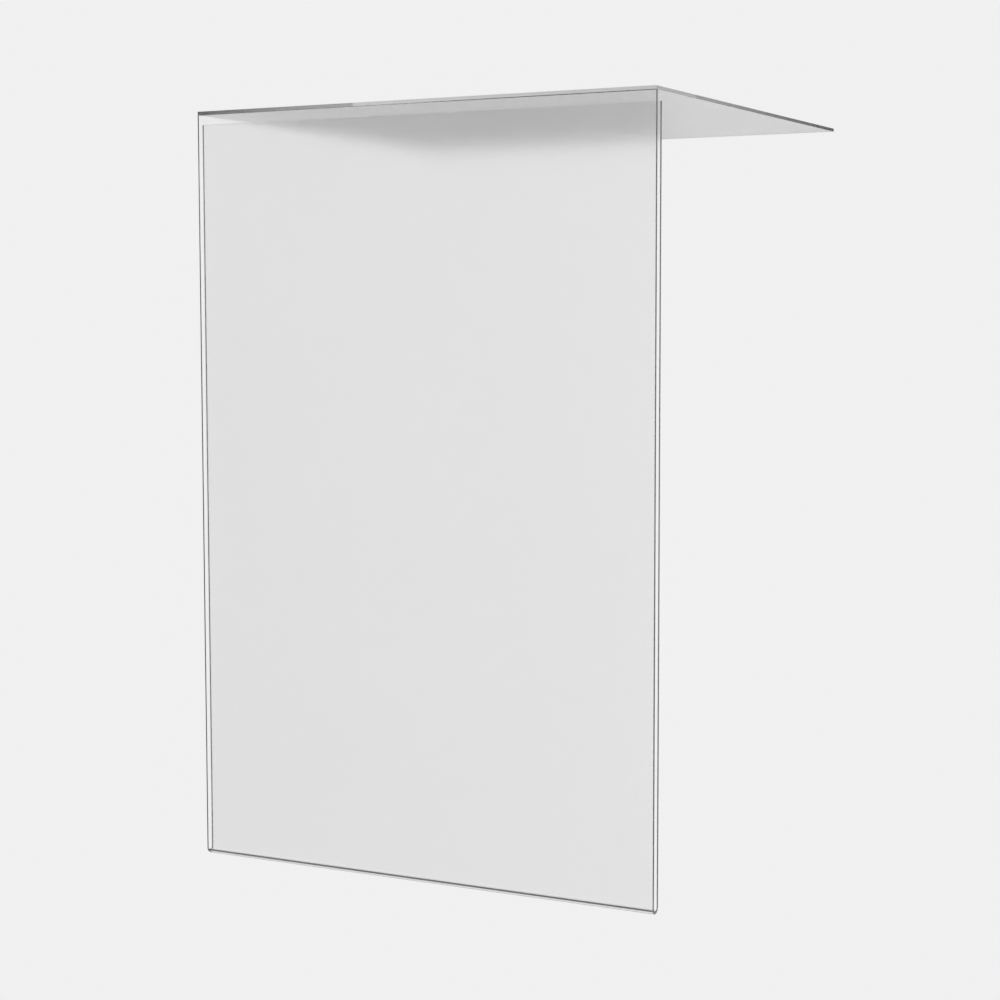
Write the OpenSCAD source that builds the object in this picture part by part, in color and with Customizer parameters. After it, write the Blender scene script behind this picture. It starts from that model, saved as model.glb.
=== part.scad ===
// Clear acrylic sneeze guard: a flat top panel with a double front wall hanging from its front edge.
// The front wall, the fold at its foot and the rear wall are one sheet, so they form a pocket that is
// open at both sides and along the top. The panel lies over the front wall's top edge and is cemented to it.
// Axes: X across the width, Y from front to rear, Z up. The origin is on the top panel's underside, on
// the centre line, half way between the rear wall and the panel's rear edge.

/* [Overall size] */
// Width, side to side
width = 610; // [300:5:1200]
// Height, from the top panel's upper face to the bottom of the fold
height = 923; // [300:1:1200]
// Depth, from the front wall's face to the top panel's rear edge
depth = 592; // [200:4:900]
// Thickness of the acrylic sheet
sheet_t = 4; // [3:0.5:8]

/* [Pocket] */
// Clear space between the front wall and the rear wall
pocket_gap = 7.5; // [5:0.5:20]
// Open slot between the rear wall's top edge and the top panel
slot_h = 11.5; // [8:0.5:80]

/* [Cement joint] */
// Thickness of the cement between the top panel and the front wall
cement_t = 0.2; // [0.1:0.05:0.5]

/* [Hidden] */

pocket_depth = pocket_gap + 2 * sheet_t;
bend_r = pocket_depth / 2;
rest_depth = depth - pocket_depth;
front_y = -rest_depth / 2 - pocket_depth;
bend_z = sheet_t - height + bend_r;
clear_acrylic = [0.88, 0.88, 0.88, 0.35];
cured_cement = [0.76, 0.76, 0.76, 0.6];
$fn = 96;

// One straight wall of the pocket in section, from the fold's centre line up to top_z
module wall_section(inner_y, top_z) {
    translate([inner_y, bend_z])
        square([sheet_t, top_z - bend_z]);
}

// The half ring that joins the two walls at the foot
module fold_section() {
    difference() {
        translate([front_y + bend_r, bend_z])
            circle(r = bend_r);
        translate([front_y + bend_r, bend_z])
            circle(r = bend_r - sheet_t);
        translate([front_y, bend_z])
            square([pocket_depth, bend_r]);
    }
}

// Flat sheet that carries the guard and covers the space behind it
module top_panel() {
    color(clear_acrylic)
        translate([-width / 2, front_y, 0])
            cube([width, depth, sheet_t]);
}

// One sheet folded through 180 degrees: front wall, fold and rear wall
module front_pocket() {
    color(clear_acrylic)
        rotate([90, 0, 90])
            linear_extrude(width, center = true) {
                wall_section(front_y, -cement_t);
                fold_section();
                wall_section(front_y + pocket_depth - sheet_t, -slot_h);
            }
}

// Thin layer that bonds the front wall's top edge to the top panel
module cement_joint() {
    color(cured_cement)
        translate([-width / 2, front_y, -cement_t])
            cube([width, sheet_t, cement_t]);
}

top_panel();
front_pocket();
cement_joint();
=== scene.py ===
import math

import bmesh
import bpy
from mathutils import Matrix, Vector


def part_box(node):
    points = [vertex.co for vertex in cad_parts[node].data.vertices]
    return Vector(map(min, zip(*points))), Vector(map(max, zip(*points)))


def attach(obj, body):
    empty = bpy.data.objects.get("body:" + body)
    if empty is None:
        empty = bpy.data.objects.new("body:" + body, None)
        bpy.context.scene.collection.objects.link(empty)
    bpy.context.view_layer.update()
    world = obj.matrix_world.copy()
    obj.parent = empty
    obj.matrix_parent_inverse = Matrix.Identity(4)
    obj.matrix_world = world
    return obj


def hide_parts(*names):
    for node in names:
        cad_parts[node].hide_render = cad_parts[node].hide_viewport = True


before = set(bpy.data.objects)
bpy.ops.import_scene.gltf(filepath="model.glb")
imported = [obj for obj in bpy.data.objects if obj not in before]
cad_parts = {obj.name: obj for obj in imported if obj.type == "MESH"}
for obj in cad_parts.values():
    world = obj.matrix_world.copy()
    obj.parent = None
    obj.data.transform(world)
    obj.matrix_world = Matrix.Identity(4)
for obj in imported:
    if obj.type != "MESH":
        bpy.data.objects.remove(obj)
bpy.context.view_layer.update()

MM = 0.001
PANEL_LOW, PANEL_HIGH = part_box("top_panel")
POCKET_LOW, POCKET_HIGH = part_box("front_pocket")
SEAM_LOW, SEAM_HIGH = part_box("cement_joint")

# Sizes read off the frame
SHEET_T = PANEL_HIGH.z - PANEL_LOW.z
FOLD_R = (POCKET_HIGH.y - POCKET_LOW.y) / 2
FOLD_Y = (POCKET_HIGH.y + POCKET_LOW.y) / 2
FOLD_Z = POCKET_LOW.z + FOLD_R
WIDTH = PANEL_HIGH.x - PANEL_LOW.x
REAR_WALL_TOP = max(v.co.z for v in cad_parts["front_pocket"].data.vertices if v.co.y > FOLD_Y)

# Shape of the sheets' edges, the fold and the cement
ARRIS = 0.15 * MM
ARRIS_STEPS = 3
SHARP_ANGLE = math.radians(50)
FOLD_STEPS = 48
SEAM_CLEAR = 0.02 * MM
BEAD_R = 0.3 * MM
BEAD_STEPS = 8

# Materials. A tint is what a sheet lets through, and a roughness is a (lowest, highest) pair.
ACRYLIC_IOR = 1.49
SHEET_TINT = 0.91
EDGE_TINT = 0.96
PANEL_ROUGH = (0.03, 0.05)
POCKET_ROUGH = (0.125, 0.145)
EDGE_ROUGH = (0.03, 0.05)
CEMENT_ROUGH = (0.16, 0.26)
CLEAR_CEMENT = 0.97
CLOUDY_CEMENT = 0.88

# Surface detail. A scale is in features per metre, and a range is where the pattern's values fade in.
HAZE_SCALE = 6.0
HAZE_RANGE = (0.3, 0.7)
RIPPLE_SCALE = 25.0
RIPPLE_DEPTH = 0.002 * MM
HAIRLINE_SCALE = {"Y": (16, 1, 3000), "Z": (16, 3000, 1)}  # by the face's normal axis
HAIRLINE_TURNS = (math.radians(9), math.radians(-17))
HAIRLINE_RANGE = (0.66, 0.70)
HAIRLINE_ROUGH = 0.05
HAIRLINE_DEPTH = 0.0004 * MM
EDGE_HAZE_SCALE = 150.0
CHATTER_SCALE = 1500.0
CHATTER_WANDER = 2.0
CHATTER_DEPTH = 0.0004 * MM
CLOUD_SCALE = 180.0
CLOUD_RANGE = (0.35, 0.65)
BUBBLE_SCALE = 1800.0
BUBBLE_RANGE = (0.1, 0.25)
BUBBLE_DEPTH = 0.02 * MM

# Tones are linear. The backdrop has one tone where it is seen past the guard. It has others where it
# lights one sheet (level with it, or from higher up), two sheets or more, and the guard from well below.
# The studio that only mirrored light meets has its own tones far above, far below and out at the sides.
BACKDROP = 0.8755
BACKLIGHT_ONE = 1.02
BACKLIGHT_ONE_HIGH = 0.956
BACKLIGHT_MORE = 1.067
FLOORLIGHT = 0.92
HIGH_STUDIO = 0.75
LOW_STUDIO = 0.12
SIDE_STUDIO = 0.62

# Where one tone fades into the next: the Z part of a direction of length 1, or for the sides its X part
HORIZON_FADE = (0.0, 0.09)
HIGH_FADE = (0.12, 0.22)
LOW_FADE = (-0.25, -0.7)
SIDE_FADE = (0.93, 0.98)
FLOORLIGHT_FADE = (-0.3, -0.6)
BACKLIGHT_FADE = (0.075, 0.09)

# One sheet takes two refractions, so a count over this has met a second sheet
ONE_SHEET_CROSSED = 2.5

# Studio tones round the compass, as (degrees from +Y towards +X, above the horizon, below the horizon)
STUDIO = [
    (-180, 0.40, 0.20),
    (-170, 0.30, 0.18),
    (-163.5, 0.10, 0.10),
    (-161.4, 0.08, 0.08),
    (-160.6, 0.15, 0.14),
    (-159.6, 0.32, 0.30),
    (-157.4, 0.58, 0.56),
    (-156.3, 0.12, 0.10),
    (-150, 0.12, 0.10),
    (-143, 0.03, 0.03),
    (-138, 0.08, 0.06),
    (-130, 0.45, 0.20),
    (-90, 0.60, 0.18),
    (-45, 0.85, 0.90),
    (-35.3, 0.80, 0.768),
    (-34.2, 0.75, 0.608),
    (-32, 0.672, 0.573),
    (-24, 0.602, 0.553),
    (-23, 0.42, 0.648),
    (-18, 0.42, 0.678),
    (10, 0.50, 0.50),
    (17, 0.06, 0.06),
    (24, 0.06, 0.06),
    (28, 0.56, 0.32),
    (33, 0.46, 0.26),
    (34.5, 0.35, 0.16),
    (35.4, 0.22, 0.04),
    (35.7, 0.10, 0.00),
    (60, 0.05, 0.02),
    (75, 0.45, 0.18),
    (90, 0.60, 0.20),
    (180, 0.40, 0.20),
]

# Camera, placed in widths of the guard from the middle of its top front edge
CAMERA_FROM_EDGE = Vector((2.0279, -3.5021, -0.4214))
CAMERA_YAW = math.radians(27.773)
CAMERA_PITCH = math.radians(-4.817)
CAMERA_ROLL = math.radians(-0.0925)
CAMERA_LENS = 75.915
SENSOR_WIDTH = 36.0

VIEW_DISTANCE = 200.0

FLOOR_DROP = 0.35
FLOOR_SIZE = 60.0
LIGHT_BOUNCES = 40


# ---------------------------------------------------------------- node helpers
def new_nodes(owner):
    """Switches on an owner's node tree, empties it and returns it."""
    owner.use_nodes = True
    owner.node_tree.nodes.clear()
    return owner.node_tree


def add(tree, kind, **values):
    """A node of this kind, with the given inputs set by name."""
    node = tree.nodes.new(kind)
    for name, value in values.items():
        node.inputs[name.replace("_", " ")].default_value = value
    return node


def math_node(tree, operation, a, b=0.5):
    """A maths node whose operands are sockets or numbers. Returns its output."""
    node = tree.nodes.new("ShaderNodeMath")
    node.operation = operation
    for socket, operand in zip(node.inputs, (a, b)):
        if isinstance(operand, bpy.types.NodeSocket):
            tree.links.new(operand, socket)
        else:
            socket.default_value = operand
    return node.outputs[0]


def mapped(tree, value, source, target=(0, 1)):
    """value taken from one (start, end) range to another, eased and clamped."""
    node = add(tree, "ShaderNodeMapRange", From_Min=source[0], From_Max=source[1], To_Min=target[0],
               To_Max=target[1])
    node.interpolation_type = "SMOOTHSTEP"
    tree.links.new(value, node.inputs["Value"])
    return node.outputs["Result"]


def ramp(tree, value, stops):
    """A colour ramp of grey tones at (place, tone) stops."""
    node = tree.nodes.new("ShaderNodeValToRGB")
    elements = node.color_ramp.elements
    while len(elements) < len(stops):
        elements.new(0.5)
    for element, (place, tone) in zip(elements, stops):
        element.position = place
        element.color = (tone, tone, tone, 1)
    tree.links.new(value, node.inputs["Fac"])
    return node.outputs["Color"]


def mixed(tree, factor, a, b):
    """b over a by factor, each a socket or a grey tone."""
    node = tree.nodes.new("ShaderNodeMix")
    node.data_type = "RGBA"
    tree.links.new(factor, node.inputs["Factor"])
    for index, value in ((6, a), (7, b)):
        if isinstance(value, bpy.types.NodeSocket):
            tree.links.new(value, node.inputs[index])
        else:
            node.inputs[index].default_value = (value, value, value, 1)
    return node.outputs[2]


# ---------------------------------------------------------------- materials
def clear_shader(name, tone):
    """A clear acrylic material with this tint. Returns it, its tree, its shader and its coordinates."""
    material = bpy.data.materials.new(name)
    tree = new_nodes(material)
    out = tree.nodes.new("ShaderNodeOutputMaterial")
    shader = add(tree, "ShaderNodeBsdfPrincipled", Base_Color=(tone, tone, tone, 1), IOR=ACRYLIC_IOR,
                 Transmission_Weight=1.0)
    tree.links.new(shader.outputs[0], out.inputs["Surface"])
    return material, tree, shader, tree.nodes.new("ShaderNodeTexCoord").outputs["Object"]


def noise(tree, place, scale, detail=2.0):
    """The grey value of a noise at this place."""
    node = add(tree, "ShaderNodeTexNoise", Scale=scale, Detail=detail)
    tree.links.new(place, node.inputs["Vector"])
    return node.outputs["Fac"]


def roughen(tree, shader, rough, height, depth):
    """Gives a shader its roughness, and its relief as a height from 0 to 1 that stands for this depth."""
    bump = add(tree, "ShaderNodeBump", Strength=1.0, Distance=depth)
    tree.links.new(height, bump.inputs["Height"])
    tree.links.new(bump.outputs["Normal"], shader.inputs["Normal"])
    tree.links.new(rough, shader.inputs["Roughness"])


def hairlines(tree, place, normal_axis, angle):
    """Fine wiping marks along X, turned by an angle about the face's normal: 1 on a mark, 0 between."""
    turn = tree.nodes.new("ShaderNodeMapping")
    turn.inputs["Rotation"].default_value["XYZ".index(normal_axis)] = angle
    stretch = tree.nodes.new("ShaderNodeMapping")
    stretch.inputs["Scale"].default_value = HAIRLINE_SCALE[normal_axis]
    tree.links.new(place, turn.inputs["Vector"])
    tree.links.new(turn.outputs[0], stretch.inputs["Vector"])
    return mapped(tree, noise(tree, stretch.outputs[0], 1.0), HAIRLINE_RANGE)


def acrylic_faces(name, normal_axis, haze_rough):
    """Cast sheet: glossy, with a cloudy haze, hairline wiping marks and the faint ripple of casting."""
    material, tree, shader, place = clear_shader(name, SHEET_TINT)
    haze = mapped(tree, noise(tree, place, HAZE_SCALE, 3.0), HAZE_RANGE, haze_rough)
    sweeps = [hairlines(tree, place, normal_axis, angle) for angle in HAIRLINE_TURNS]
    marks = math_node(tree, "MAXIMUM", *sweeps)
    rough = math_node(tree, "ADD", haze, math_node(tree, "MULTIPLY", marks, HAIRLINE_ROUGH))
    ripple = noise(tree, place, RIPPLE_SCALE)
    cut = math_node(tree, "MULTIPLY", marks, HAIRLINE_DEPTH / RIPPLE_DEPTH)
    roughen(tree, shader, rough, math_node(tree, "SUBTRACT", ripple, cut), RIPPLE_DEPTH)
    return material


def acrylic_edges():
    """Flame-polished cut edge, with the faint chatter marks that the saw left across it."""
    material, tree, shader, place = clear_shader("clear_acrylic_edges", EDGE_TINT)
    chatter = add(tree, "ShaderNodeTexWave", Scale=CHATTER_SCALE, Distortion=CHATTER_WANDER, Detail=2.0)
    chatter.wave_type = "BANDS"
    chatter.bands_direction = "DIAGONAL"
    tree.links.new(place, chatter.inputs["Vector"])
    rough = mapped(tree, noise(tree, place, EDGE_HAZE_SCALE), HAZE_RANGE, EDGE_ROUGH)
    roughen(tree, shader, rough, chatter.outputs["Fac"], CHATTER_DEPTH)
    return material


def cured_cement():
    """Cured cement: clear but slightly cloudy, with tiny trapped bubbles."""
    material, tree, shader, place = clear_shader("cured_cement", CLEAR_CEMENT)
    cells = add(tree, "ShaderNodeTexVoronoi", Scale=BUBBLE_SCALE)
    tree.links.new(place, cells.inputs["Vector"])
    bubbles = mapped(tree, cells.outputs["Distance"], BUBBLE_RANGE, (1, 0))
    cloud = mapped(tree, noise(tree, place, CLOUD_SCALE, 4.0), CLOUD_RANGE)
    cloudy = math_node(tree, "MAXIMUM", bubbles, cloud)
    tree.links.new(mixed(tree, cloudy, CLEAR_CEMENT, CLOUDY_CEMENT), shader.inputs["Base Color"])
    roughen(tree, shader, mapped(tree, cloudy, (0, 1), CEMENT_ROUGH), bubbles, BUBBLE_DEPTH)
    return material


# ---------------------------------------------------------------- pieces
def finish_piece(name, shape, materials, broad, bonded=lambda edge: False):
    """Turns a bmesh into an object: broad faces take the first material, cut edges the last.

    The arris later breaks every sharp edge but the bonded ones.
    """
    bmesh.ops.recalc_face_normals(shape, faces=shape.faces)
    for face in shape.faces:
        face.smooth = True
        face.material_index = 0 if broad(face) else len(materials) - 1
    weight = shape.edges.layers.float.new("bevel_weight_edge")
    for edge in shape.edges:
        edge.smooth = not bonded(edge)
        edge[weight] = float(edge.calc_face_angle(0.0) > SHARP_ANGLE and edge.smooth)
    mesh = bpy.data.meshes.new(name)
    shape.to_mesh(mesh)
    shape.free()
    for material in materials:
        mesh.materials.append(material)
    piece = bpy.data.objects.new(name, mesh)
    bpy.context.scene.collection.objects.link(piece)
    return piece


def add_arris(piece):
    """Breaks the sharp edges of a sheet with a fine rounded bevel."""
    bevel = piece.modifiers.new("arris", "BEVEL")
    bevel.width = ARRIS
    bevel.segments = ARRIS_STEPS
    bevel.limit_method = "WEIGHT"
    bevel.harden_normals = True
    bevel.material = 1


def on_level(edge, z):
    """True when an edge lies at this height."""
    return all(abs(vert.co.z - z) < SEAM_CLEAR for vert in edge.verts)


def make_panel(faces, edges):
    """The flat top sheet."""
    def broad(face):
        return abs(face.normal.z) > 0.9

    def bonded(edge):
        return on_level(edge, PANEL_LOW.z) and all(vert.co.y < FOLD_Y for vert in edge.verts)

    shape = bmesh.new()
    bmesh.ops.create_cube(shape, size=1.0)
    size = PANEL_HIGH - PANEL_LOW
    middle = (PANEL_HIGH + PANEL_LOW) / 2
    placed = Matrix.Translation(middle) @ Matrix.Diagonal((*size, 1))
    bmesh.ops.transform(shape, verts=shape.verts, matrix=placed)
    piece = finish_piece("top_sheet", shape, [faces, edges], broad, bonded)
    add_arris(piece)
    return piece


def pocket_line(radius, inwards):
    """The folded sheet's outer or inner side in section, from the front wall's top to the rear wall's."""
    points = [(POCKET_LOW.y + inwards, POCKET_HIGH.z)]
    for step in range(FOLD_STEPS + 1):
        angle = math.pi + math.pi * step / FOLD_STEPS
        points.append((FOLD_Y + radius * math.cos(angle), FOLD_Z + radius * math.sin(angle)))
    points.append((POCKET_HIGH.y - inwards, REAR_WALL_TOP))
    return points


def make_pocket(faces, edges):
    """The folded sheet: front wall, fold and rear wall."""
    def broad(face):
        return abs(face.normal.x) < 0.5 and not face.normal.z > 0.99

    def bonded(edge):
        return on_level(edge, POCKET_HIGH.z)

    outer = pocket_line(FOLD_R, 0.0)
    inner = pocket_line(FOLD_R - SHEET_T, SHEET_T)
    shape = bmesh.new()
    rings = {}
    for side, x in (("left", POCKET_LOW.x), ("right", POCKET_HIGH.x)):
        for line, points in (("outer", outer), ("inner", inner)):
            rings[side, line] = [shape.verts.new((x, y, z)) for y, z in points]
    for line in ("outer", "inner"):
        for i in range(len(outer) - 1):
            a, b = rings["left", line], rings["right", line]
            shape.faces.new((a[i], a[i + 1], b[i + 1], b[i]))
    for side in ("left", "right"):
        a, b = rings[side, "outer"], rings[side, "inner"]
        for i in range(len(outer) - 1):
            shape.faces.new((a[i], a[i + 1], b[i + 1], b[i]))
    for end in (0, -1):
        shape.faces.new((rings["left", "outer"][end], rings["right", "outer"][end],
                         rings["right", "inner"][end], rings["left", "inner"][end]))
    piece = finish_piece("pocket_sheet", shape, [faces, edges], broad, bonded)
    add_arris(piece)
    return piece


def make_seam(cement):
    """The cement layer, with the small bead that it leaves in the inner corner."""
    low, high = SEAM_LOW.z + SEAM_CLEAR, SEAM_HIGH.z - SEAM_CLEAR
    y_front, y_back = SEAM_LOW.y, SEAM_HIGH.y
    outline = [(y_front, high), (y_front, low), (y_back, low)]
    corner = (y_back + BEAD_R, low - BEAD_R)
    for step in range(BEAD_STEPS + 1):
        angle = math.pi - math.pi / 2 * step / BEAD_STEPS
        across, down = (BEAD_R - SEAM_CLEAR) * math.cos(angle), BEAD_R * math.sin(angle)
        outline.append((corner[0] + across, corner[1] + down))
    outline.append((y_back + BEAD_R, high))
    shape = bmesh.new()
    left = [shape.verts.new((SEAM_LOW.x + ARRIS, y, z)) for y, z in outline]
    right = [shape.verts.new((SEAM_HIGH.x - ARRIS, y, z)) for y, z in outline]
    for i in range(len(outline)):
        j = (i + 1) % len(outline)
        shape.faces.new((left[i], left[j], right[j], right[i]))
    shape.faces.new(left)
    shape.faces.new(right)
    return finish_piece("cement_seam", shape, [cement], lambda face: True)


# ---------------------------------------------------------------- stage
def make_world():
    """A plain pale backdrop, and round it a soft studio that shows only in mirrored light."""
    world = bpy.data.worlds.new("studio")
    bpy.context.scene.world = world
    tree = new_nodes(world)
    out = tree.nodes.new("ShaderNodeOutputWorld")
    shader = tree.nodes.new("ShaderNodeBackground")
    direction = tree.nodes.new("ShaderNodeTexCoord").outputs["Generated"]
    parts = tree.nodes.new("ShaderNodeSeparateXYZ")
    tree.links.new(direction, parts.inputs[0])
    turn = math_node(tree, "ARCTAN2", parts.outputs["X"], parts.outputs["Y"])
    place = math_node(tree, "ADD", math_node(tree, "DIVIDE", turn, 2 * math.pi), 0.5)
    above = ramp(tree, place, [(a / 360 + 0.5, high) for a, high, _ in STUDIO])
    below = ramp(tree, place, [(a / 360 + 0.5, low) for a, _, low in STUDIO])
    lift = parts.outputs["Z"]
    horizon = mixed(tree, mapped(tree, lift, HORIZON_FADE), below, above)
    sideways = math_node(tree, "ABSOLUTE", parts.outputs["X"])
    sides = mixed(tree, mapped(tree, sideways, SIDE_FADE), horizon, SIDE_STUDIO)
    upper = mixed(tree, mapped(tree, lift, HIGH_FADE), sides, HIGH_STUDIO)
    studio = mixed(tree, mapped(tree, lift, LOW_FADE), upper, LOW_STUDIO)
    light_path = tree.nodes.new("ShaderNodeLightPath")
    mirrored = math_node(tree, "GREATER_THAN", light_path.outputs["Glossy Depth"], 0.5)
    crossed = math_node(tree, "GREATER_THAN", light_path.outputs["Transmission Depth"], ONE_SHEET_CROSSED)
    one = mixed(tree, mapped(tree, lift, BACKLIGHT_FADE), BACKLIGHT_ONE, BACKLIGHT_ONE_HIGH)
    level = mixed(tree, crossed, one, BACKLIGHT_MORE)
    through = mixed(tree, mapped(tree, lift, FLOORLIGHT_FADE), level, FLOORLIGHT)
    behind = mixed(tree, light_path.outputs["Is Camera Ray"], through, BACKDROP)
    tone = mixed(tree, mirrored, behind, studio)
    tree.links.new(tone, shader.inputs["Color"])
    tree.links.new(shader.outputs[0], out.inputs["Surface"])


def make_floor():
    """A plain pale floor well below the guard, which hangs from its panel. From below it is not seen."""
    shape = bmesh.new()
    bmesh.ops.create_grid(shape, x_segments=1, y_segments=1, size=FLOOR_SIZE)
    mesh = bpy.data.meshes.new("floor")
    shape.to_mesh(mesh)
    shape.free()
    material = bpy.data.materials.new("floor_paint")
    tree = new_nodes(material)
    out = tree.nodes.new("ShaderNodeOutputMaterial")
    glow = add(tree, "ShaderNodeEmission", Color=(BACKDROP, BACKDROP, BACKDROP, 1))
    from_below = tree.nodes.new("ShaderNodeMixShader")
    tree.links.new(tree.nodes.new("ShaderNodeNewGeometry").outputs["Backfacing"], from_below.inputs[0])
    tree.links.new(glow.outputs[0], from_below.inputs[1])
    tree.links.new(tree.nodes.new("ShaderNodeBsdfTransparent").outputs[0], from_below.inputs[2])
    tree.links.new(from_below.outputs[0], out.inputs["Surface"])
    mesh.materials.append(material)
    floor = bpy.data.objects.new("floor", mesh)
    floor.location.z = POCKET_LOW.z - FLOOR_DROP
    floor.visible_glossy = False
    floor.visible_transmission = False
    bpy.context.scene.collection.objects.link(floor)


def make_camera():
    """The camera, in front of the guard and to its right, a little below its top panel."""
    data = bpy.data.cameras.new("camera")
    data.lens = CAMERA_LENS
    data.sensor_width = SENSOR_WIDTH
    data.clip_end = VIEW_DISTANCE
    camera = bpy.data.objects.new("camera", data)
    edge = Vector((0, PANEL_LOW.y, PANEL_HIGH.z))
    camera.location = edge + CAMERA_FROM_EDGE * WIDTH
    turn = Matrix.Rotation(CAMERA_YAW, 4, "Z")
    tilt = Matrix.Rotation(math.pi / 2 + CAMERA_PITCH, 4, "X")
    roll = Matrix.Rotation(CAMERA_ROLL, 4, "Z")
    camera.rotation_euler = (turn @ tilt @ roll).to_euler()
    bpy.context.scene.collection.objects.link(camera)
    bpy.context.scene.camera = camera


def set_light_paths():
    """Lets light follow the sheets from edge to edge, and shows tones as they are."""
    scene = bpy.context.scene
    scene.view_settings.view_transform = "Standard"
    scene.cycles.max_bounces = LIGHT_BOUNCES
    scene.cycles.glossy_bounces = LIGHT_BOUNCES
    scene.cycles.transmission_bounces = LIGHT_BOUNCES


make_camera()
make_world()
make_floor()
set_light_paths()

PANEL_FACES = acrylic_faces("clear_acrylic_panel", "Z", PANEL_ROUGH)
POCKET_FACES = acrylic_faces("clear_acrylic_pocket", "Y", POCKET_ROUGH)
EDGES = acrylic_edges()
CEMENT = cured_cement()
for piece, node, slot in (
    (make_panel(PANEL_FACES, EDGES), "top_panel", "clear_acrylic"),
    (make_pocket(POCKET_FACES, EDGES), "front_pocket", "clear_acrylic"),
    (make_seam(CEMENT), "cement_joint", "cement"),
):
    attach(piece, "root")
    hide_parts(node)
